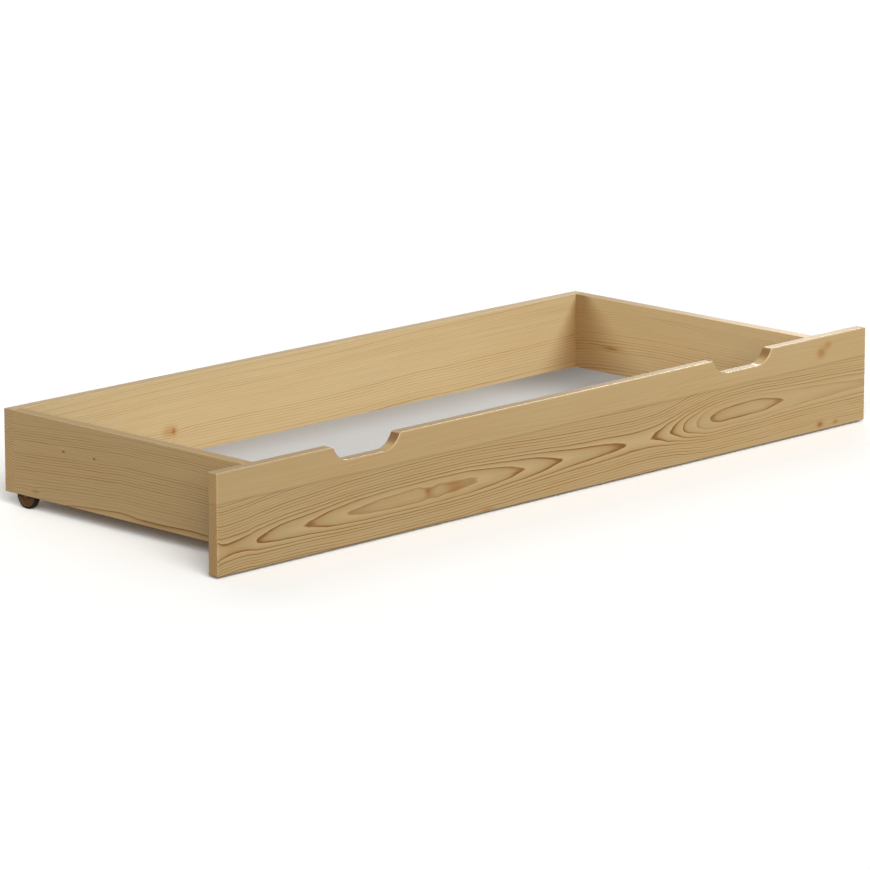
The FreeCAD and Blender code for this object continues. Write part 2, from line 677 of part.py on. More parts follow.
def make_fasteners():
    """Every screw, dowel and cam lock, in groups of identical pieces."""
    upward = Rotation(X_AXIS, 180)
    to_rear = Rotation(X_AXIS, -90)
    sides = [f"-{SIDE_MIDDLE}", SIDE_MIDDLE]

    screw = make_screw("corner_screw", "corner_head", "corner_shank", "corner_length")
    rear_face = f"{SIDE_REAR} + board_thickness"
    places = [((x, rear_face, f"{SIDE_BOTTOM} + {height}"), to_rear)
              for x in sides for height in CORNER_SCREW_HEIGHTS]
    make_group("corner_screws", screw, places)

    screw = make_screw("roller_screw", "roller_screw_head", "roller_screw_shank", "roller_screw_length")
    places = []
    for x, y, turn in ROLLERS.values():
        inward = 1 if turn.Angle else -1
        places += [((x, f"{y} + {inward} * ({ARCH_RADIUS} + pocket_play + {step})", SIDE_BOTTOM), upward)
                   for step in ROLLER_SCREWS]
    make_group("roller_screws", screw, places)

    screw = make_screw("floor_screw", "floor_screw_head", "floor_screw_shank", "floor_screw_length")
    side_line = f"({HALF_REBATED} - rebate_width / 2)"
    places = [((f"{sign}{side_line}", f"{SIDE_FRONT} + {step}", SIDE_BOTTOM), upward)
              for sign in ("-", "") for step in SIDE_FLOOR_SCREWS]
    places += [((x, f"{SIDE_REAR} + rebate_width / 2", SIDE_BOTTOM), upward) for x in BACK_FLOOR_SCREWS]
    make_group("floor_screws", screw, places)

    screw = make_screw("batten_screw", "batten_screw_head", "batten_screw_shank", "batten_screw_length")
    places = [((x, f"{SIDE_REAR} + board_thickness / 2", f"{SIDE_BOTTOM} - batten_thickness"), upward)
              for x in BATTENS.values()]
    make_group("batten_screws", screw, places)

    places = [((x, y, f"{SIDE_BOTTOM} + {height}"), to_rear)
              for x in sides for y in (SIDE_FRONT, SIDE_REAR) for height in DOWEL_HEIGHTS]
    places += [((x, SIDE_FRONT, f"{SIDE_BOTTOM} - batten_thickness / 2"), to_rear) for x in BATTENS.values()]
    make_group("wooden_dowels", make_dowel(), places)

    places = [((x, SIDE_FRONT, f"{SIDE_BOTTOM} + {height}"), to_rear)
              for x in sides for height in CAM_HEIGHTS]
    make_group("cam_dowels", make_cam_dowel(), places)

    inner_face = f"({HALF_BOX} - board_thickness)"
    cam_line = f"{SIDE_FRONT} + cam_setback"
    places = [((f"{sign}{inner_face}", cam_line, f"{SIDE_BOTTOM} + {height}"), Rotation(Y_AXIS, turn))
              for sign, turn in (("-", 90), ("", -90)) for height in CAM_HEIGHTS]
    make_group("cam_locks", make_cam(), places)


# ---------------------------------------------------------------- whole box

def check_and_export():
    """Stop if anything in the document failed, then write one file for each sub-part."""
    doc.recompute()
    for item in doc.Objects:
        if {"Invalid", "Error"} & set(item.State):
            raise RuntimeError(f"{item.Name}: {item.State}")
    for item in nodes:
        if item.Shape.isNull() or not item.Shape.isValid() or not item.Shape.Solids:
            raise RuntimeError(f"{item.Label} has no valid solid")
    os.makedirs("parts", exist_ok=True)
    for item in nodes:
        item.Shape.exportStep(f"parts/{item.Label}.step")
        print(item.Label, len(item.Shape.Solids), round(item.Shape.Volume))


make_sheet()
make_front_panel()
make_right_side_panel(make_left_side_panel())
make_back_panel()
make_floor_panel()
make_battens()
for corner, (x, y, turn) in ROLLERS.items():
    make_housing(corner, x, y, turn)
    make_wheel(corner, x, y)
    make_tread(corner, x, y)
    make_axle(corner, x, y)
make_fasteners()
check_and_export()
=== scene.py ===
import math

import bpy
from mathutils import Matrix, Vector


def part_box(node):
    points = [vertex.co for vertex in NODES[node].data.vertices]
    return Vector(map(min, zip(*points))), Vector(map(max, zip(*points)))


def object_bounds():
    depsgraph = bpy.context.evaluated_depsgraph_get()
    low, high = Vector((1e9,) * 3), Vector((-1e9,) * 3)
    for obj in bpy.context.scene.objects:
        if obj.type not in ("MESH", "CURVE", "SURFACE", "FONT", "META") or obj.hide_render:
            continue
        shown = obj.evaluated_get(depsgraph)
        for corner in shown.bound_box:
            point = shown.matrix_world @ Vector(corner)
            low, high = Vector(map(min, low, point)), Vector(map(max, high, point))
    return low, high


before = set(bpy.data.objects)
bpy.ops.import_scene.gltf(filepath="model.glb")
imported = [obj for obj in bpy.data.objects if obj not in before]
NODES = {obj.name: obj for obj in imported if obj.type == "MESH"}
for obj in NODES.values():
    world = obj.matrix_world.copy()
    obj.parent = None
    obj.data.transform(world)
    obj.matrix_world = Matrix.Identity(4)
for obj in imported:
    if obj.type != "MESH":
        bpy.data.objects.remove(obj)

CAD_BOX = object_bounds()
MM_PER_M = 1000.0
ORIGIN = (0.0, 0.0, 0.0)


# ---------------------------------------------------------------- node trees

class Tree:
    """Short calls that build a material. A value given to them is a number, a colour or a socket."""

    def __init__(self, name):
        self.material = bpy.data.materials.new(name)
        self.material.use_nodes = True
        self.nodes = self.material.node_tree.nodes
        self.links = self.material.node_tree.links
        self.shader = self.nodes["Principled BSDF"]

    def put(self, socket, value):
        if isinstance(value, bpy.types.NodeSocket):
            self.links.new(value, socket)
        else:
            socket.default_value = value

    def node(self, kind, inputs=(), **settings):
        made = self.nodes.new(kind)
        for key, value in settings.items():
            setattr(made, key, value)
        for key, value in dict(inputs).items():
            self.put(made.inputs[key], value)
        return made

    # numbers

    def math(self, operation, *values):
        made = self.node("ShaderNodeMath", operation=operation)
        for socket, value in zip(made.inputs, values):
            self.put(socket, value)
        return made.outputs[0]

    def add(self, a, b):
        return self.math("ADD", a, b)

    def times(self, a, b):
        return self.math("MULTIPLY", a, b)

    def scaled(self, value, factor, offset=0.0):
        return self.math("MULTIPLY_ADD", value, factor, offset)

    def clamped(self, value, low, high):
        return self.math("MINIMUM", self.math("MAXIMUM", value, low), high)

    def distance(self, a, b):
        """Length of the long side of a right triangle with short sides a and b."""
        return self.math("SQRT", self.add(self.times(a, a), self.times(b, b)))

    def ramp(self, value, start, end, low=0.0, high=1.0):
        """Goes smoothly from low at start to high at end."""
        made = self.node("ShaderNodeMapRange", {
            "Value": value, "From Min": start, "From Max": end, "To Min": low, "To Max": high,
        }, interpolation_type="SMOOTHSTEP")
        return made.outputs["Result"]

    def curve(self, value, points):
        """A smooth curve through given points (position, value), read at the value."""
        xs = [x for x, _ in points]
        ys = [y for _, y in points]
        left, width = xs[0], xs[-1] - xs[0]
        low, span = min(ys), max(ys) - min(ys)
        made = self.node("ShaderNodeFloatCurve")
        self.put(made.inputs["Value"], self.scaled(value, 1 / width, -left / width))
        line = made.mapping.curves[0]
        for x, y in points[1:-1]:
            line.points.new((x - left) / width, (y - low) / span)
        line.points[0].location = (0.0, (ys[0] - low) / span)
        line.points[len(points) - 1].location = (1.0, (ys[-1] - low) / span)
        for point in line.points:
            point.handle_type = "AUTO"
        made.mapping.update()
        return self.scaled(made.outputs["Value"], span, low)

    # places

    def vector(self, x, y, z):
        return self.node("ShaderNodeCombineXYZ", {"X": x, "Y": y, "Z": z}).outputs["Vector"]

    def place(self, low=ORIGIN):
        """Object coordinates measured from a low corner, in millimetres, as three sockets."""
        coordinates = self.node("ShaderNodeTexCoord").outputs["Object"]
        moved = self.node("ShaderNodeVectorMath", {0: coordinates, 1: tuple(low)}, operation="SUBTRACT")
        large = self.node("ShaderNodeVectorMath", {0: moved.outputs["Vector"]}, operation="SCALE")
        large.inputs["Scale"].default_value = MM_PER_M
        parts = self.node("ShaderNodeSeparateXYZ", {"Vector": large.outputs["Vector"]})
        return parts.outputs["X"], parts.outputs["Y"], parts.outputs["Z"]

    def facing(self, axis):
        """How squarely the surface faces along an axis of the frame, from 0 to 1."""
        normal = self.node("ShaderNodeTexCoord").outputs["Normal"]
        parts = self.node("ShaderNodeSeparateXYZ", {"Vector": normal})
        return self.math("ABSOLUTE", parts.outputs[axis])

    def noise(self, vector, scale, detail=2.0, roughness=0.5):
        """Noise about zero, roughly from -1 to 1."""
        made = self.node("ShaderNodeTexNoise", {
            "Vector": vector, "Scale": scale, "Detail": detail, "Roughness": roughness,
        })
        return self.scaled(made.outputs["Fac"], 2.0, -1.0)

    def drawn_noise(self, place, sizes, detail, roughness=0.5):
        """Noise whose features have these sizes along the three axes, in millimetres."""
        drawn = [self.scaled(value, 1 / size) for value, size in zip(place, sizes)]
        return self.noise(self.vector(*drawn), 1.0, detail, roughness)

    # colours and surface

    def mix(self, factor, first, second, blend="MIX"):
        made = self.node("ShaderNodeMix", data_type="RGBA", blend_type=blend)
        self.put(made.inputs[0], factor)
        self.put(made.inputs[6], first)
        self.put(made.inputs[7], second)
        return made.outputs[2]

    def shaded(self, colour, factor, shade):
        """The colour, multiplied by a shade as far as the factor says."""
        return self.mix(factor, colour, self.mix(1.0, colour, shade, "MULTIPLY"))

    def tinted(self, colour, amount):
        """The colour times a grey amount."""
        grey = self.node("ShaderNodeCombineColor", {"Red": amount, "Green": amount, "Blue": amount})
        return self.mix(1.0, colour, grey.outputs["Color"], "MULTIPLY")

    def surface(self, colour, roughness):
        self.put(self.shader.inputs["Base Color"], colour)
        self.put(self.shader.inputs["Roughness"], roughness)

    def bump(self, height, distance, strength):
        """Relief; the distance is its depth in metres."""
        made = self.node("ShaderNodeBump", {
            "Height": height, "Distance": distance, "Strength": strength,
        })
        self.put(self.shader.inputs["Normal"], made.outputs["Normal"])


def wear(node_names, material):
    """Gives CAD nodes a material through their own material slots."""
    for name in node_names:
        for slot in NODES[name].material_slots:
            slot.material = material


def ending(*ends):
    """Names of the CAD nodes that end in one of these words."""
    return [name for name in NODES if name.endswith(ends)]


# ---------------------------------------------------------------- pine

# Each board is cut from a trunk whose pith lies outside its show face. Lengths are in millimetres, "along"
# runs from the board's low end and heights are above its bottom edge.
# length_axis: 0 for a board along X, 1 for a board along Y
# touching: the growth ring that just touches the show face, along the board; rings close into arches there
# pith: the height of the pith, along the board
# first_ring, spacing: radius of ring 0 and distance to the next; crowding packs the rings closer with the
#     distance out of ring 0, as far as CROWD_REACH
# fade: from this far out of ring 0 to this far, the rings lose contrast down to a share
# sapwood: height above which the wood is plain and pale
# contrast: of the rings, along the board
# tone: brightness, along the board
# tint: colour that multiplies the wood's colour
# roughness: of the lacquer on the faces
# corner: painted shade: the inner face darkens towards the rear right corner, where the panels' shadows fall:
# from
#     this far away at the bottom, this much nearer per millimetre of height, by this amount
# knots: along, height, half length, half height, how far the rings are pushed aside, darkness of the core
# seed: keeps the noises of the boards apart
BOARDS = {
    "front_panel": {
        "length_axis": 0,
        "touching": (
            (0, 2.9), (45, 3.6), (110, 3.0), (232, 2.0), (620, 0.45), (750, 1.0), (877, 2.0), (1000, 3.0),
            (1100, 3.5), (1190, 3.98), (1214, 4.12), (1327, 3.0), (1410, 1.0), (1575, -0.6), (1696, -0.03),
            (1980, 0.85),
        ),
        "pith": (
            (0, 50), (110, 58), (250, 65), (700, 73), (1200, 74), (1410, 83), (1600, 89), (1980, 86),
        ),
        "first_ring": 50.0,
        "spacing": 4.6,
        "crowding": 0.0030,
        "fade": (16.0, 60.0, 0.55),
        "sapwood": 148.0,
        "contrast": ((0, 1.15), (1250, 1.2), (1500, 0.9), (1980, 0.7)),
        "tone": ((0, 0.68), (990, 0.735), (1980, 0.80)),
        "tint": (1.0, 1.015, 0.98, 1.0),
        "roughness": 0.27,
        "corner": (1.0, 0.0, 0.0),
        "knots": (
            (1828, 176, 16, 13, 0.5, 0.2), (1850, 190, 12, 8, 0.3, 0.0), (1827, 14, 13, 8, 0.8, 0.6),
            (1880, 12, 9, 5, 0.4, 0.2), (590, 74, 9, 8, 0.3, 0.2), (668, 72, 24, 13, 0.3, 0.0),
            (765, 4, 20, 6, 0.3, 0.0),
        ),
        "seed": 3.0,
    },
    "left_side_panel": {
        "length_axis": 1,
        "touching": ((0, 1.9), (140, 1.3), (290, 1.7), (440, 1.1), (600, 1.7), (720, 2.2)),
        "pith": ((0, -14), (140, -4), (300, -2), (450, -10), (720, -22)),
        "first_ring": 46.0,
        "spacing": 5.2,
        "crowding": 0.0020,
        "fade": (30.0, 120.0, 0.70),
        "sapwood": 400.0,
        "contrast": ((0, 0.75), (720, 0.68)),
        "tone": ((0, 0.745), (360, 0.73), (720, 0.745)),
        "tint": (1.0, 0.99, 0.92, 1.0),
        "roughness": 0.45,
        "corner": (1.0, 0.0, 0.0),
        "knots": ((563, 114, 6, 3, 0.8, 1.0), (468, 114, 5, 3, 0.8, 1.0), (653, 14, 10, 4, 0.5, 0.0)),
        "seed": 17.0,
    },
    "right_side_panel": {
        "length_axis": 1,
        "touching": ((0, 0.8), (250, 1.6), (500, 1.2), (720, 1.9)),
        "pith": ((0, -30), (300, -22), (720, -34)),
        "first_ring": 62.0,
        "spacing": 5.4,
        "crowding": 0.0015,
        "fade": (20.0, 120.0, 0.6),
        "sapwood": 400.0,
        "contrast": ((0, 0.60), (720, 0.65)),
        # This tone is lighter than the front's partly as painted light bounced inside the box; its fall
        # towards the rear end is painted shade near the rear corner.
        "tone": ((0, 1.02), (200, 0.97), (450, 0.91), (720, 0.87)),
        "tint": (1.0, 1.03, 1.03, 1.0),
        "roughness": 0.30,
        "corner": (280.0, 1.4, 0.85),
        "knots": ((608, 65, 30, 5, 0.5, 0.4),),
        "seed": 29.0,
    },
    "back_panel": {
        "length_axis": 0,
        "touching": ((0, 1.9), (450, 1.2), (950, 1.9), (1150, 1.5), (1350, 2.1), (1742, 1.6)),
        "pith": ((0, -52), (450, -40), (930, -34), (1330, -22), (1742, -14)),
        "first_ring": 64.0,
        "spacing": 5.0,
        "crowding": 0.0020,
        "fade": (8.0, 120.0, 0.6),
        "sapwood": 400.0,
        "contrast": ((0, 0.62), (1742, 0.66)),
        # This tone is lighter than the front's partly as painted light bounced inside the box.
        "tone": ((0, 0.78), (70, 0.885), (900, 0.905), (1742, 0.885)),
        "tint": (0.97, 1.04, 1.10, 1.0),
        "roughness": 0.50,
        "corner": (165.0, 0.9, 1.0),
        "knots": ((440, 60, 20, 12, 0.4, 0.0), (452, 58, 7, 9, 0.3, 0.4)),
        "seed": 41.0,
    },
}

BATTEN = dict(
    BOARDS["back_panel"],
    length_axis=1,
    touching=((0, 0.2), (300, 1.6), (745, 0.5)),
    pith=((0, 8), (745, 14)),
    contrast=((0, 0.9), (745, 0.85)),
    tone=((0, 0.84), (745, 0.86)),
    knots=(),
)
BATTEN_SEEDS = {"left_floor_batten": 50.0, "middle_floor_batten": 57.0, "right_floor_batten": 64.0}

# Noises drawn out along the board: length and width of their features in millimetres, detail, and for the
# fibres the noise's roughness.
SLOW_BENDS = (190, 34, 1.0)
FAST_BENDS = (52, 11, 2.0)
SAPWOOD_EDGE = (260, 30, 2.0)
PATCHES = (240, 30, 2.0)
BREAKS = (80, 5, 2.0)
FIBRES = (40, 0.9, 3.0, 0.65)
STREAKS = (300, 6, 3.0)
HAIRS = (420, 2.2, 2.0)
CLOUDS = (260, 60, 2.0)
BREAKS_SEED, HAIRS_SEED, CHANCE_SEED = 4.0, 9.0, 0.5
MIDDLE_OF_NOISE = (-0.5, 0.5)

# How far the noises bend the rings and the sapwood's edge, in millimetres.
SLOW_BEND, FAST_BEND, SAPWOOD_BEND = 1.2, 0.45, 4.0
CROWD_REACH = 17.0
SAPWOOD_BELOW, SAPWOOD_ABOVE = 5.0, 3.0

# A ring runs from 0 to 1: pale early wood, then honey, then a dark late line with a sharp end.
PALE_END = 0.4
HONEY_RISE, HONEY_FALL = (0.42, 0.95), (0.97, 1.0)
LINE_RISE, LINE_FALL = (0.72, 0.92), (0.96, 1.0)

# Strength of a ring: its least, what chance adds, and what patches, breaks, sapwood and end grain do to it.
RING_LEAST, RING_CHANCE = 0.30, 0.95
PATCH_SHARE, BREAK_SHARE, SAPWOOD_LOSS, END_GRAIN_GAIN = 0.45, 0.9, 0.75, 0.5

# Distances from a knot's centre, in shares of its size, over which it pushes the rings aside, stains the wood
# (with the stain's strength at both ends) and has a dark core.
KNOT_PUSH = (0.5, 4.0)
KNOT_STAIN = (0.2, 1.7, 0.8, 0.0)
KNOT_CORE = (0.3, 0.9)

# End grain shows where the surface faces along the board. From these distances off the board's ends it belongs
# to the routed grips and is darker, partly from the routed grain and partly as painted shade in the grips.
END_FACING = (0.45, 0.85)
ROUTED_FROM = (20.0, 40.0)

# The painted shadow in the inner corner starts this far before the board's far end, and only the inner face
# has it.
CORNER_SHADOW_INSET = 22.0
INNER_FACE_DEPTH = (0.5, 3.0)

# Two colours of wood, and shades that multiply them.
PALE_WOOD = (0.560, 0.392, 0.196, 1.0)
WARM_WOOD = (0.560, 0.378, 0.180, 1.0)
HONEY_SHADE = (0.85, 0.66, 0.49, 1.0)
LATE_SHADE = (0.55, 0.46, 0.29, 1.0)
KNOT_SHADE = (0.86, 0.66, 0.45, 1.0)
CORE_SHADE = (0.52, 0.40, 0.30, 1.0)
# Colour of the painted shadow in the rear right inner corner.
PAINTED_CORNER_SHADOW_COLOUR = (0.50, 0.38, 0.26, 1.0)
END_GRAIN_SHADE = (1.0, 0.94, 0.86, 1.0)
# Darker routed grain in the grips, partly painted shade.
ROUTED_GRAIN_AND_PAINTED_SHADE = (0.53, 0.45, 0.39, 1.0)

# How much each mark brightens or darkens the wood.
FIBRE_TONE, STREAK_TONE, HAIR_TONE = 0.06, 0.08, 0.10
SAPWOOD_TONE, BOUNDARY_TONE, PALE_TONE = 0.05, -0.15, 0.13

PATCH_ROUGHNESS, END_GRAIN_ROUGHNESS = 0.03, 0.15
FIBRE_RELIEF, LINE_RELIEF = 0.05, 0.6
PINE_BUMP = (0.00002, 0.6)


def stretched_noise(tree, place, seed, length, width, detail, roughness=0.5):
    """Noise drawn out along the board: its features are this long and this wide, in millimetres."""
    along, depth, height = place
    drawn = tree.vector(
        tree.scaled(along, 1 / length),
        tree.scaled(depth, 1 / width),
        tree.scaled(height, 1 / width, seed),
    )
    return tree.noise(drawn, 1.0, detail, roughness)


def knot_distances(tree, board, place):
    """For each knot its push, its core's darkness and a distance: 0 at its centre, 1 at its edge."""
    along, _, height = place
    for x, z, half_length, half_height, push, core in board["knots"]:
        across = tree.scaled(along, 1 / half_length, -x / half_length)
        up = tree.scaled(height, 1 / half_height, -z / half_height)
        yield push, core, tree.distance(across, up)


def ring_number(tree, board, place, knots):
    """The growth ring that a point of the board lies in, and the distance out of ring 0."""
    along, depth, height = place
    slow = stretched_noise(tree, place, board["seed"], *SLOW_BENDS)
    fast = stretched_noise(tree, place, board["seed"], *FAST_BENDS)
    aside = tree.math("SUBTRACT", height, tree.curve(along, board["pith"]))
    away = tree.scaled(depth, 1.0, board["first_ring"])
    outward = tree.scaled(tree.distance(away, aside), 1.0, -board["first_ring"])
    outward = tree.add(outward, tree.add(tree.times(slow, SLOW_BEND), tree.times(fast, FAST_BEND)))
    near = tree.clamped(outward, 0.0, CROWD_REACH)
    crowded = tree.times(tree.times(near, near), board["crowding"])
    number = tree.add(tree.scaled(outward, 1 / board["spacing"]), crowded)
    number = tree.add(number, tree.curve(along, board["touching"]))
    for push, _, distance in knots:
        number = tree.add(number, tree.ramp(distance, *KNOT_PUSH, push, 0.0))
    return number, outward


def season_marks(tree, board, number):
    """Honey, dark line and pale wood at a point, each from 0 to 1, and the chance value of its ring."""
    ring = tree.math("FLOOR", number)
    season = tree.math("SUBTRACT", number, ring)
    picked = tree.node("ShaderNodeTexWhiteNoise", {"W": tree.scaled(ring, 1.0, board["seed"] + CHANCE_SEED)},
                       noise_dimensions="1D")
    honey = tree.times(tree.ramp(season, *HONEY_RISE), tree.ramp(season, *HONEY_FALL, 1.0, 0.0))
    line = tree.times(tree.ramp(season, *LINE_RISE), tree.ramp(season, *LINE_FALL, 1.0, 0.0))
    pale = tree.ramp(season, 0.0, PALE_END, 1.0, 0.0)
    return honey, line, pale, picked.outputs["Value"]


def sapwood_share(tree, board, place):
    """0 in the heartwood and 1 in the plain, pale sapwood."""
    edge = stretched_noise(tree, place, board["seed"], *SAPWOOD_EDGE)
    height = tree.add(place[2], tree.times(edge, SAPWOOD_BEND))
    return tree.ramp(height, board["sapwood"] - SAPWOOD_BELOW, board["sapwood"] + SAPWOOD_ABOVE)


def ring_strength(tree, board, place, outward, chance, patches, sapwood, end_grain):
    """How strongly the rings show, from 0 to 1."""
    fade_start, fade_end, faded = board["fade"]
    fade = tree.ramp(outward, fade_start, fade_end, 1.0, faded)
    breaks = stretched_noise(tree, place, board["seed"] + BREAKS_SEED, *BREAKS)
    contrast = tree.add(tree.scaled(patches, PATCH_SHARE), tree.curve(place[0], board["contrast"]))
    by_chance = tree.scaled(tree.times(chance, chance), RING_CHANCE, RING_LEAST)
    strength = tree.times(tree.times(by_chance, fade), contrast)
    strength = tree.times(strength, tree.scaled(breaks, BREAK_SHARE, 1.0))
    strength = tree.times(strength, tree.scaled(sapwood, -SAPWOOD_LOSS, 1.0))
    strength = tree.add(strength, tree.times(end_grain, END_GRAIN_GAIN))
    return tree.clamped(strength, 0.0, 1.0)


def painted_corner_shadow(tree, board, place, length):
    """How dark the painted shadow in the rear right corner of the inner face is, from 0 to 1."""
    along, depth, height = place
    reach, narrowing, amount = board["corner"]
    away = tree.math("DIVIDE", tree.scaled(along, -1.0, length - CORNER_SHADOW_INSET),
                     tree.scaled(height, -narrowing, reach))
    return tree.times(tree.ramp(away, 0.0, 1.0, amount, 0.0), tree.ramp(depth, *INNER_FACE_DEPTH, 1.0, 0.0))


def pine(name, board, low, high):
    """Satin-lacquered pine with growth rings that run through the board in three dimensions."""
    tree = Tree(name)
    x, y, z = tree.place(low)
    length = (high - low)[board["length_axis"]] * MM_PER_M
    place = (x, y, z) if board["length_axis"] == 0 else (y, x, z)
    along = place[0]
    knots = list(knot_distances(tree, board, place))
    number, outward = ring_number(tree, board, place, knots)
    honey, line, pale, chance = season_marks(tree, board, number)

    end_grain = tree.ramp(tree.facing("XY"[board["length_axis"]]), *END_FACING)
    from_end = tree.math("MINIMUM", along, tree.scaled(along, -1.0, length))
    routed_grain_and_shade = tree.times(end_grain, tree.ramp(from_end, *ROUTED_FROM))
    sapwood = sapwood_share(tree, board, place)
    boundary = tree.times(sapwood, tree.scaled(sapwood, -4.0, 4.0))
    patches = stretched_noise(tree, place, board["seed"], *PATCHES)
    strength = ring_strength(tree, board, place, outward, chance, patches, sapwood, end_grain)
    late_line = tree.times(line, strength)

    fibre = stretched_noise(tree, place, 0.0, *FIBRES)
    streak = stretched_noise(tree, place, board["seed"], *STREAKS)
    hair = stretched_noise(tree, place, board["seed"] + HAIRS_SEED, *HAIRS)
    cloud = stretched_noise(tree, place, board["seed"], *CLOUDS)

    colour = tree.mix(tree.ramp(cloud, *MIDDLE_OF_NOISE), PALE_WOOD, WARM_WOOD)
    colour = tree.shaded(colour, 1.0, board["tint"])
    colour = tree.shaded(colour, tree.times(honey, strength), HONEY_SHADE)
    colour = tree.shaded(colour, late_line, LATE_SHADE)
    for _, core, distance in knots:
        colour = tree.shaded(colour, tree.ramp(distance, *KNOT_STAIN), KNOT_SHADE)
        colour = tree.shaded(colour, tree.ramp(distance, *KNOT_CORE, core, 0.0), CORE_SHADE)
    colour = tree.shaded(colour, end_grain, END_GRAIN_SHADE)
    # The grip walls: darker routed grain and painted shade.
    colour = tree.shaded(colour, routed_grain_and_shade, ROUTED_GRAIN_AND_PAINTED_SHADE)

    shade = tree.scaled(fibre, FIBRE_TONE, 1.0)
    for mark, tone in ((streak, STREAK_TONE), (hair, HAIR_TONE), (sapwood, SAPWOOD_TONE),
                       (boundary, BOUNDARY_TONE), (tree.times(pale, strength), PALE_TONE)):
        shade = tree.add(shade, tree.scaled(mark, tone))
    colour = tree.tinted(colour, tree.times(shade, tree.curve(along, board["tone"])))
    # Painted shade: the shadow in the rear right inner corner.
    colour = tree.shaded(colour, painted_corner_shadow(tree, board, place, length), PAINTED_CORNER_SHADOW_COLOUR)

    roughness = tree.scaled(patches, PATCH_ROUGHNESS, board["roughness"])
    tree.surface(colour, tree.add(roughness, tree.scaled(end_grain, END_GRAIN_ROUGHNESS)))
    tree.bump(tree.add(tree.scaled(fibre, FIBRE_RELIEF), tree.scaled(late_line, LINE_RELIEF)), *PINE_BUMP)
    return tree.material


# ---------------------------------------------------------------- other materials

# White-faced fibreboard. Sizes of features and depths of the face are in millimetres.
WHITE_FACE = (0.525, 0.534, 0.550, 1.0)
FIBREBOARD = (0.30, 0.185, 0.10, 1.0)
MOTTLE_SIZE, FACE_GRAIN_SIZE, FELT_SIZES = 90, 1.6, (6, 2, 0.8)
MOTTLE_TONE, FACE_GRAIN_TONE, FELT_TONE = 0.015, 0.012, 0.25
FACE_BOTTOM, FACE_TOP = 0.25, 0.15
FACE_ROUGHNESS, FACE_SPECULAR, FACE_BUMP = 0.46, 0.1, (0.00003, 0.5)
# Painted shade: the face darkens towards its back and its right edge, where the back and right panels' shadows
# fall:
# from and to these distances off the edge, with a tone that goes from the first to the second.
BACK_PAINTED_SHADE = (160.0, 0.0, 1.07, 0.70)
RIGHT_PAINTED_SHADE = (380.0, 100.0, 1.0, 0.56)

# Moulded plastics: colour, roughness, size of the grain in millimetres and the end of the nodes' names.
PLASTICS = {
    "brown_plastic": ((0.085, 0.046, 0.019, 1.0), 0.52, 0.5, "_housing"),
    "wheel_plastic": ((0.112, 0.056, 0.019, 1.0), 0.50, 0.6, "_wheel"),
    "tread_rubber": ((0.014, 0.007, 0.004, 1.0), 0.72, 0.35, "_tread"),
}
PLASTIC_CLOUD_SIZE, PLASTIC_SPECULAR, PLASTIC_BUMP = 9, 0.25, (0.00005, 0.6)

ZINC_COLOURS = ((0.60, 0.60, 0.59, 1.0), (0.70, 0.70, 0.68, 1.0))
ZINC_CLOUD_SIZE, ZINC_ROUGHNESS, ZINC_BUMP = 2.5, 0.32, (0.00002, 0.5)

BEECH_COLOURS = ((0.50, 0.31, 0.17, 1.0), (0.62, 0.41, 0.24, 1.0))
BEECH_FLECK_SIZES, BEECH_FLECK_SPAN = (1.2, 6, 1.2), (-0.5, 0.6)
BEECH_ROUGHNESS, BEECH_BUMP = 0.58, (0.00008, 0.5)


def white_board():
    tree = Tree("white_faced_board")
    low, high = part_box("floor_panel")
    length, width, thickness = (high - low) * MM_PER_M
    x, y, z = tree.place(low)
    place = tree.vector(x, y, z)
    mottle = tree.noise(place, 1 / MOTTLE_SIZE, 3.0)
    grain = tree.noise(place, 1 / FACE_GRAIN_SIZE, 2.0)
    felt = tree.drawn_noise((x, y, z), FELT_SIZES, 4.0, 0.7)

    # Painted shade along the back and right edges of the white face.
    start, end, first, second = BACK_PAINTED_SHADE
    painted_back_shade = tree.ramp(y, width - start, width - end, first, second)
    start, end, first, second = RIGHT_PAINTED_SHADE
    painted_right_shade = tree.ramp(x, length - start, length - end, first, second)
    shade = tree.add(tree.scaled(mottle, MOTTLE_TONE, 1.0), tree.scaled(grain, FACE_GRAIN_TONE))
    face = tree.tinted(WHITE_FACE, tree.times(shade, tree.times(painted_back_shade, painted_right_shade)))
    core = tree.tinted(FIBREBOARD, tree.scaled(felt, FELT_TONE, 1.0))
    on_face = tree.ramp(z, thickness - FACE_BOTTOM, thickness - FACE_TOP)
    tree.surface(tree.mix(on_face, core, face), tree.scaled(grain, 0.04, FACE_ROUGHNESS))
    tree.shader.inputs["Specular IOR Level"].default_value = FACE_SPECULAR
    tree.bump(grain, *FACE_BUMP)
    return tree.material


def moulded(name, colour, roughness, grain_size):
    tree = Tree(name)
    place = tree.vector(*tree.place())
    grain = tree.noise(place, 1 / grain_size, 3.0, 0.6)
    cloud = tree.noise(place, 1 / PLASTIC_CLOUD_SIZE, 2.0)
    shade = tree.add(tree.scaled(grain, 0.06, 1.0), tree.scaled(cloud, 0.10))
    tree.surface(tree.tinted(colour, shade),
                 tree.add(tree.scaled(grain, 0.06, roughness), tree.scaled(cloud, 0.05)))
    tree.shader.inputs["Specular IOR Level"].default_value = PLASTIC_SPECULAR
    tree.bump(grain, *PLASTIC_BUMP)
    return tree.material


def zinc():
    tree = Tree("zinc_plated_steel")
    cloud = tree.noise(tree.vector(*tree.place()), 1 / ZINC_CLOUD_SIZE, 3.0)
    colour = tree.mix(tree.ramp(cloud, *MIDDLE_OF_NOISE), *ZINC_COLOURS)
    tree.surface(colour, tree.scaled(cloud, 0.08, ZINC_ROUGHNESS))
    tree.shader.inputs["Metallic"].default_value = 1.0
    tree.bump(cloud, *ZINC_BUMP)
    return tree.material


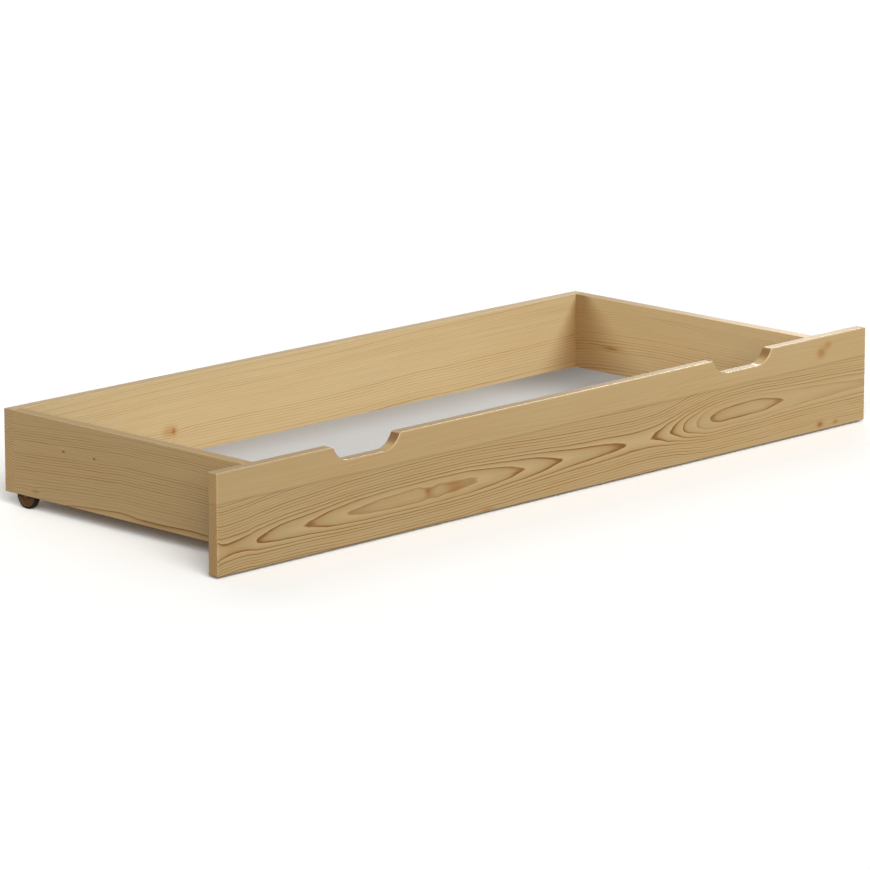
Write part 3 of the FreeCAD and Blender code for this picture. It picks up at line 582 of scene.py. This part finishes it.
def beech():
    tree = Tree("beech_dowel")
    fleck = tree.drawn_noise(tree.place(), BEECH_FLECK_SIZES, 3.0)
    colour = tree.mix(tree.ramp(fleck, *BEECH_FLECK_SPAN), *BEECH_COLOURS)
    tree.surface(colour, tree.scaled(fleck, 0.05, BEECH_ROUGHNESS))
    tree.bump(fleck, *BEECH_BUMP)
    return tree.material


def dress_object():
    battens = {node: dict(BATTEN, seed=seed) for node, seed in BATTEN_SEEDS.items()}
    for node, board in {**BOARDS, **battens}.items():
        wear([node], pine(node + "_pine", board, *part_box(node)))
    wear(["floor_panel"], white_board())
    for name, (colour, roughness, grain_size, end) in PLASTICS.items():
        wear(ending(end), moulded(name, colour, roughness, grain_size))
    wear(ending("_screws", "_axle", "cam_dowels", "cam_locks"), zinc())
    wear(["wooden_dowels"], beech())


# ---------------------------------------------------------------- studio and camera

FLOOR_COLOUR = (0.93, 0.93, 0.925, 1.0)
FLOOR_SIZE = 120.0
FLOOR_GAP = 0.0002
FLOOR_CLOUD_SIZE = 900
WORLD_STRENGTH = 0.30

# Suns: name, strength, angle in degrees and the direction they stand in. Only the key light shows in
# reflections, so that the tops of the boards aren't washed out.
SUNS = (("key", 4.0, 50.0, (-0.42, -0.64, 0.51)), ("fill", 1.0, 60.0, (0.45, 0.80, 0.40)))
SUN_COLOUR = (1.0, 0.99, 0.97)

# The rim light only shows in reflections: it draws the bright line along the upper edges.
RIM_SIZE, RIM_POWER, RIM_COLOUR = (1.1, 2.3), 90.0, (1.0, 0.96, 0.88)
RIM_PLACE, RIM_DIRECTION = (3.29, 1.55, 2.62), (0.70, 0.50, 0.42)

# The camera, fitted to the photo's straight edges: angles in degrees, lengths in metres.
CAMERA_AZIMUTH, CAMERA_ELEVATION, CAMERA_DISTANCE = -45.4665, 12.9493, 10.964
CAMERA_TARGET = (0.0007, -0.0130, 0.0702)
SENSOR_WIDTH_MM, FOCAL_LENGTH_MM = 36.0, 210.865


def turned(item, direction):
    """Adds a light or camera to the scene, with its back towards the direction."""
    item.rotation_mode = "QUATERNION"
    item.rotation_quaternion = Vector(direction).to_track_quat("Z", "Y")
    bpy.context.scene.collection.objects.link(item)
    return item


def studio():
    bpy.ops.mesh.primitive_plane_add(size=FLOOR_SIZE, location=(0.0, 0.0, CAD_BOX[0][2] - FLOOR_GAP))
    ground = bpy.context.object
    ground.name = "studio_floor"
    tree = Tree("studio_floor")
    cloud = tree.noise(tree.vector(*tree.place()), 1 / FLOOR_CLOUD_SIZE, 2.0)
    tree.surface(tree.tinted(FLOOR_COLOUR, tree.scaled(cloud, 0.01, 1.0)), 0.85)
    tree.shader.inputs["Specular IOR Level"].default_value = 0.2
    ground.data.materials.append(tree.material)
    ground.visible_diffuse = False
    ground.visible_glossy = False

    world = bpy.data.worlds.new("studio")
    world.use_nodes = True
    world.node_tree.nodes["Background"].inputs["Color"].default_value = (1.0, 1.0, 1.0, 1.0)
    world.node_tree.nodes["Background"].inputs["Strength"].default_value = WORLD_STRENGTH
    bpy.context.scene.world = world

    for name, strength, angle, direction in SUNS:
        data = bpy.data.lights.new(name, "SUN")
        data.energy = strength
        data.angle = math.radians(angle)
        data.color = SUN_COLOUR
        sun = turned(bpy.data.objects.new(name, data), direction)
        sun.visible_glossy = name == "key"

    data = bpy.data.lights.new("rim", "AREA")
    data.shape = "RECTANGLE"
    data.size, data.size_y = RIM_SIZE
    data.energy = RIM_POWER
    data.color = RIM_COLOUR
    rim = turned(bpy.data.objects.new("rim", data), RIM_DIRECTION)
    rim.location = RIM_PLACE
    rim.visible_camera = False
    rim.visible_diffuse = False


def camera():
    azimuth, elevation = math.radians(CAMERA_AZIMUTH), math.radians(CAMERA_ELEVATION)
    back = Vector((
        math.sin(azimuth) * math.cos(elevation),
        -math.cos(azimuth) * math.cos(elevation),
        math.sin(elevation),
    ))
    data = bpy.data.cameras.new("camera")
    data.sensor_width = SENSOR_WIDTH_MM
    data.lens = FOCAL_LENGTH_MM
    data.clip_end = 100.0
    eye = turned(bpy.data.objects.new("camera", data), back)
    eye.location = Vector(CAMERA_TARGET) + CAMERA_DISTANCE * back
    bpy.context.scene.camera = eye


bpy.context.scene.view_settings.view_transform = "Standard"
camera()
studio()
dress_object()
